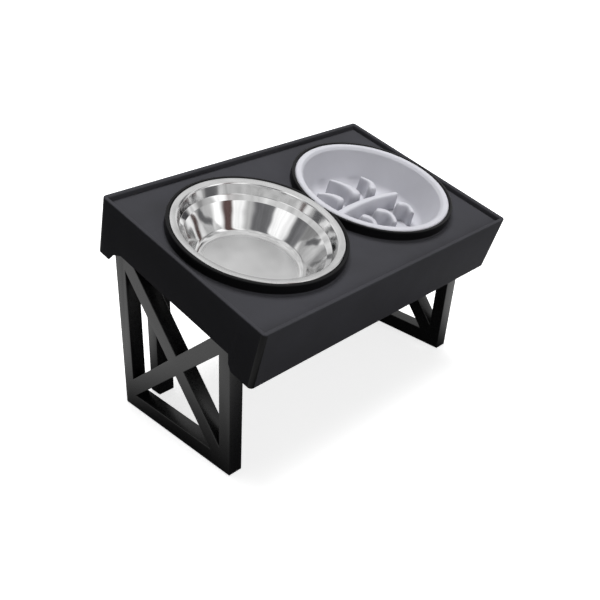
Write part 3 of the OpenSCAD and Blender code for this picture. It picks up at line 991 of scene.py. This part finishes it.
# ABS from a mould eroded to a fine matte grain: an even dark grey with hardly any gloss.
TRAY_ABS = GrainFinish("ABS moulded matte black", "#39393c", "#3d3d41", (0.5, 0.62), 0.01, 0.9, 0.03)
# The same plastic made near black as painted shade on the collars under the bowls' rims; the upright
# corners of the apron take it too. Its gloss gives a thin highlight along its edge.
SHADE_BLACK_ABS = GrainFinish("ABS black painted shade", "#0a0a0b", "#0e0e0f", (0.3, 0.38), 0.12, 0.9, 0.006)
# The same plastic from a smoother mould: near black, with a soft sheen that mirrors the floor.
LEG_ABS = GrainFinish("ABS moulded satin black", "#0c0c0d", "#111112", (0.26, 0.36), 0.6, 1.2, 0.012)
# Unfilled polypropylene: a cool light grey, slightly waxy, with soft highlights on its round edges.
FEEDER_PP = GrainFinish("polypropylene moulded grey", "#b5b5bb", "#bbbbc1", (0.36, 0.46), 0.4, 1.1, 0.012)
# Soft silicone: dull black, with no highlight.
SOFT_SILICONE = GrainFinish("silicone moulded black", "#161617", "#1b1b1c", (0.6, 0.75), 0.3, 0.8, 0.02)
# Rubber from a blasted mould: the dullest black of all, with a coarse grain.
FOOT_RUBBER = GrainFinish("rubber moulded black", "#121212", "#181818", (0.7, 0.85), 0.25, 0.7, 0.04)
# Zinc plate over steel: a grey metal with a faint blur.
SCREW_ZINC = GrainFinish("steel zinc plated", "#8f9092", "#9b9c9e", (0.28, 0.4), 0.5, 0.5, 0.004,
                         metallic=1.0)
# Deep drawn stainless steel: the polished wall mirrors the studio in bands, slightly wavy from the press,
# and the rim and floor are satin with faint smudges.
BOWL_STEEL = PressedSteelFinish(
    "stainless steel pressed and polished", colour="#eeeeee", smudge_colour="#cecece", wall_roughness=0.09,
    floor_roughness=0.34, rim_roughness=0.24, floor_r=58.0, rim_r=92.5, ring_mm=0.8, wave_mm=34.0)


@dataclass
class SmallParts:
    """Sockets, screws, seat rings, pads and tips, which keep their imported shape."""

    finishes: dict[Slot, Material]

    def dress(self) -> None:
        """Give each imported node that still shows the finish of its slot."""
        for row in frame["record"]["subparts"]:
            node = frame["nodes"][row["node"]]
            if node.hide_render:
                continue
            node.data.materials.clear()
            node.data.materials.append(self.finishes[Slot(row["material_slot"])])
            log.info("%s keeps its packed shape", row["node"])


@dataclass(frozen=True)
class Card:
    """Upright card of the studio that polished metal mirrors, from one azimuth to the next card's."""

    start: float
    colour: str


WHITE = "#ffffff"
PALE = "#dcdcdc"
MID = "#b4b4b4"
GREY = "#828282"
DIM = "#6e6e70"
DARK = "#3a3a3c"
BROWN = "#5a4846"
CARDS = (Card(-180, WHITE), Card(-155, DIM), Card(-120, MID), Card(-106, WHITE), Card(-92, BROWN),
         Card(-74, WHITE), Card(-56, MID), Card(-40, GREY), Card(-30, PALE), Card(-14, DARK), Card(2, PALE),
         Card(20, MID), Card(60, PALE), Card(118, GREY), Card(145, DIM), Card(172, WHITE))


@dataclass(frozen=True)
class Lamp:
    """Soft rectangular lamp, with its place and size in metres and its power in watts."""

    name: str
    place: Triple
    size: Pair
    power: float


LAMPS = (Lamp("overhead softbox", (0.15, 0.15, 2.4), (1.2, 1.2), 62),
         Lamp("front fill", (-0.3, -2.4, 0.9), (1.8, 1.2), 29))


@dataclass(frozen=True)
class Studio:
    """White floor, soft lamps, cards for the metal to mirror and the camera of the photograph."""

    eye: Triple = (-0.6733, -0.5825, 0.6021)
    yaw: float = 45.475
    pitch: float = 33.19
    roll: float = 1.377
    lens: float = 46.4
    shift: Pair = (0.0833, 0.1)
    near_clip: float = 0.01
    lamp_aim: Triple = (0.0, 0.0, 0.2)
    floor_size: float = 12.0
    floor_colour: str = "#e6e6e6"
    floor_bounce: str = "#525252"
    floor_glow: float = 0.7
    glow_reach: Pair = (0.4, 0.9)
    mirror_glow: float = 0.85
    mirror_reach: Pair = (0.22, 0.37)
    ambient: float = 0.1
    card_light: float = 1.3
    card_edge: float = 6.0
    streak_count: Triple = (7.0, 7.0, 1.2)
    streak_span: Pair = (0.35, 0.65)
    streak_depth: Pair = (0.72, 1.2)
    ceiling: str = "#d2d2d2"
    card_top: Pair = (28.0, 42.0)

    def camera(self) -> None:
        """Set up the camera: yaw from +X towards +Y, pitch downwards, roll about its own axis."""
        yaw, pitch, roll = (math.radians(a) for a in (self.yaw, self.pitch, self.roll))
        ahead = Vector((math.cos(pitch) * math.cos(yaw), math.cos(pitch) * math.sin(yaw), -math.sin(pitch)))
        level = Vector((math.sin(yaw), -math.cos(yaw), 0))
        right = level * math.cos(roll) + level.cross(ahead) * math.sin(roll)
        up = right.cross(ahead)
        data = bpy.data.cameras.new("photo camera")
        data.lens = self.lens
        data.shift_x, data.shift_y = self.shift
        data.clip_start = self.near_clip
        camera = add_object("photo camera", data)
        turn = Matrix((right, up, -ahead)).transposed()
        camera.matrix_world = Matrix.Translation(self.eye) @ turn.to_4x4()
        bpy.context.scene.camera = camera

    def add_lamp(self, lamp: Lamp) -> None:
        """Add a lamp that faces the object. Mirrored rays see the studio's cards in its place.

        Args:
            lamp: the lamp's name, place, size and power.
        """
        data = bpy.data.lights.new(lamp.name, "AREA")
        data.shape = "RECTANGLE"
        data.size, data.size_y = lamp.size
        data.energy = lamp.power
        light = add_object(lamp.name, data)
        ahead = (Vector(self.lamp_aim) - Vector(lamp.place)).to_track_quat("-Z", "Y")
        light.matrix_world = Matrix.Translation(lamp.place) @ ahead.to_matrix().to_4x4()
        light.visible_glossy = False

    def rays(self, tree: NodeTree) -> tuple[Any, Any]:
        """Tell what the camera sees from what is mirrored.

        Args:
            tree: node tree of the floor or the world.

        Returns:
            The sockets of rays that come from the camera, straight or through glass, and of mirrored rays.
        """
        kinds = add_node(tree, "ShaderNodeLightPath").outputs
        seen = [kinds["Is Camera Ray"], kinds["Is Transmission Ray"]]
        clear = add_node(tree, "ShaderNodeMath", seen, operation="MAXIMUM")
        return clear.outputs[0], kinds["Is Glossy Ray"]

    def floor(self) -> None:
        """Lay the pale floor, which the camera sees as white but for the object's shadow.

        Mirrored rays see it grey under the object, a painted shadow, and glowing white further out, so that
        the sheen on the legs fades towards their feet. Soft light bounces off it as off a grey one, as between
        a studio's black flags.
        """
        half = self.floor_size / 2
        corners = [(-half, -half, 0), (half, -half, 0), (half, half, 0), (-half, half, 0)]
        mesh = bpy.data.meshes.new("floor")
        mesh.from_pydata(corners, [], [(0, 1, 2, 3)])
        material = bpy.data.materials.new("white studio floor")
        tree = empty_tree(material)
        clear, mirrored = self.rays(tree)
        place = add_node(tree, "ShaderNodeTexCoord").outputs["Object"]
        reach = add_node(tree, "ShaderNodeVectorMath", [place], operation="LENGTH").outputs["Value"]
        whiter = add_node(tree, "ShaderNodeMapRange", [reach, *self.glow_reach, self.floor_glow, 1.0],
                          interpolation_type="SMOOTHSTEP")
        # Painted shadow and reflection: the glow that mirrored rays see is kept off the floor near the object and
        # rises further out.
        sheen = add_node(tree, "ShaderNodeMapRange", [reach, *self.mirror_reach, 0.0, self.mirror_glow],
                         interpolation_type="SMOOTHSTEP")
        shine = add_node(tree, "ShaderNodeMath", [mirrored, sheen.outputs[0]], operation="MULTIPLY")
        glow = add_node(tree, "ShaderNodeMath", [clear, whiter.outputs[0], shine.outputs[0]],
                        operation="MULTIPLY_ADD")
        pale = add_node(tree, "ShaderNodeBsdfDiffuse", {"Color": linear(self.floor_colour)})
        grey = add_node(tree, "ShaderNodeBsdfDiffuse", {"Color": linear(self.floor_bounce)})
        light = add_node(tree, "ShaderNodeEmission", {"Color": linear(WHITE), "Strength": glow.outputs[0]})
        paint = add_node(tree, "ShaderNodeMixShader", [clear, grey.outputs[0], pale.outputs[0]])
        both = add_node(tree, "ShaderNodeAddShader", [paint.outputs[0], light.outputs[0]])
        add_node(tree, "ShaderNodeOutputMaterial", {"Surface": both.outputs[0]})
        mesh.materials.append(material)
        floor = add_object("floor", mesh)

    def cards(self, tree: NodeTree) -> Any:
        """Colour of the studio that metal mirrors: cards by azimuth and a pale ceiling, with soft folds.

        Args:
            tree: node tree of the world.

        Returns:
            The output socket of the colour.
        """
        way = add_node(tree, "ShaderNodeTexCoord").outputs["Generated"]
        x, y, z = add_node(tree, "ShaderNodeSeparateXYZ", [way]).outputs
        turn = add_node(tree, "ShaderNodeMath", [y, x], operation="ARCTAN2")
        share = add_node(tree, "ShaderNodeMapRange", [turn.outputs[0], -math.pi, math.pi])
        ramp = add_node(tree, "ShaderNodeValToRGB", [share.outputs[0]])
        stops = ramp.color_ramp.elements
        while len(stops) < 2 * len(CARDS):
            stops.new(1.0)
        ends = [card.start for card in CARDS[1:]] + [180.0]
        for index, (card, end) in enumerate(zip(CARDS, ends)):
            for stop, azimuth in ((stops[2 * index], card.start + self.card_edge / 2),
                                  (stops[2 * index + 1], end - self.card_edge / 2)):
                stop.position = (azimuth + 180) / 360
                stop.color = linear(card.colour)
        heights = [math.sin(math.radians(angle)) for angle in self.card_top]
        above = add_node(tree, "ShaderNodeMapRange", [z, *heights], interpolation_type="SMOOTHSTEP")
        mixed = add_node(tree, "ShaderNodeMix", {
            "Factor": above.outputs[0], "A": ramp.outputs[0], "B": linear(self.ceiling)}, data_type="RGBA")
        drawn = add_node(tree, "ShaderNodeVectorMath", [way, self.streak_count], operation="MULTIPLY")
        folds = add_node(tree, "ShaderNodeTexNoise", {
            "Vector": drawn.outputs[0], "Scale": 1.0, "Detail": 3.0})
        shade = add_node(tree, "ShaderNodeMapRange", [
            folds.outputs["Fac"], *self.streak_span, *self.streak_depth])
        streaky = add_node(tree, "ShaderNodeVectorMath", {
            0: mixed.outputs["Result"], "Scale": shade.outputs[0]}, operation="SCALE")
        return streaky.outputs[0]

    def world(self) -> None:
        """Light the room softly, white to the camera, with the studio's cards for mirrored rays."""
        world = bpy.data.worlds.new("studio")
        bpy.context.scene.world = world
        tree = empty_tree(world)
        clear, mirrored = self.rays(tree)
        soft = add_node(tree, "ShaderNodeBackground", {"Color": linear(WHITE), "Strength": self.ambient})
        mirror = add_node(tree, "ShaderNodeBackground", {
            "Color": self.cards(tree), "Strength": self.card_light})
        white = add_node(tree, "ShaderNodeBackground", {"Color": linear(WHITE), "Strength": 1.0})
        lit = add_node(tree, "ShaderNodeMixShader", [mirrored, soft.outputs[0], mirror.outputs[0]])
        seen = add_node(tree, "ShaderNodeMixShader", [clear, lit.outputs[0], white.outputs[0]])
        add_node(tree, "ShaderNodeOutputWorld", {"Surface": seen.outputs[0]})

    def build(self) -> None:
        """Set up floor, world, lamps and camera."""
        self.floor()
        self.world()
        for lamp in LAMPS:
            self.add_lamp(lamp)
        self.camera()
        bpy.context.scene.view_settings.view_transform = "Standard"


def main() -> None:
    """Build the feeder's pieces in order, dress them and set up the studio."""
    logging.basicConfig(level=logging.INFO, format="%(name)s: %(message)s")
    tray = Tray()
    tray_abs = TRAY_ABS.material()
    leg_abs = LEG_ABS.material()
    # The tray's collars and upright corners take a near black finish, painted shade on the collars.
    tray.build(tray_abs, SHADE_BLACK_ABS.material())
    centre = Vector(tray.place.place(np.array([-tray.bowl_x, 0.0, 0.0])) * MM)
    steel = BOWL_STEEL.material(centre, tray.place.tilt)
    SteelBowl().build(tray, steel)
    FeederBowl().build(tray, FEEDER_PP.material())
    for side in Side:
        LegFrame(side).build(tray, leg_abs)
        RearPost(side).build(tray, leg_abs)
    SmallParts({Slot.ABS: tray_abs, Slot.SILICONE: SOFT_SILICONE.material(),
                Slot.RUBBER: FOOT_RUBBER.material(), Slot.SCREW: SCREW_ZINC.material()}).dress()
    Studio().build()


if __name__ == "__main__":
    main()
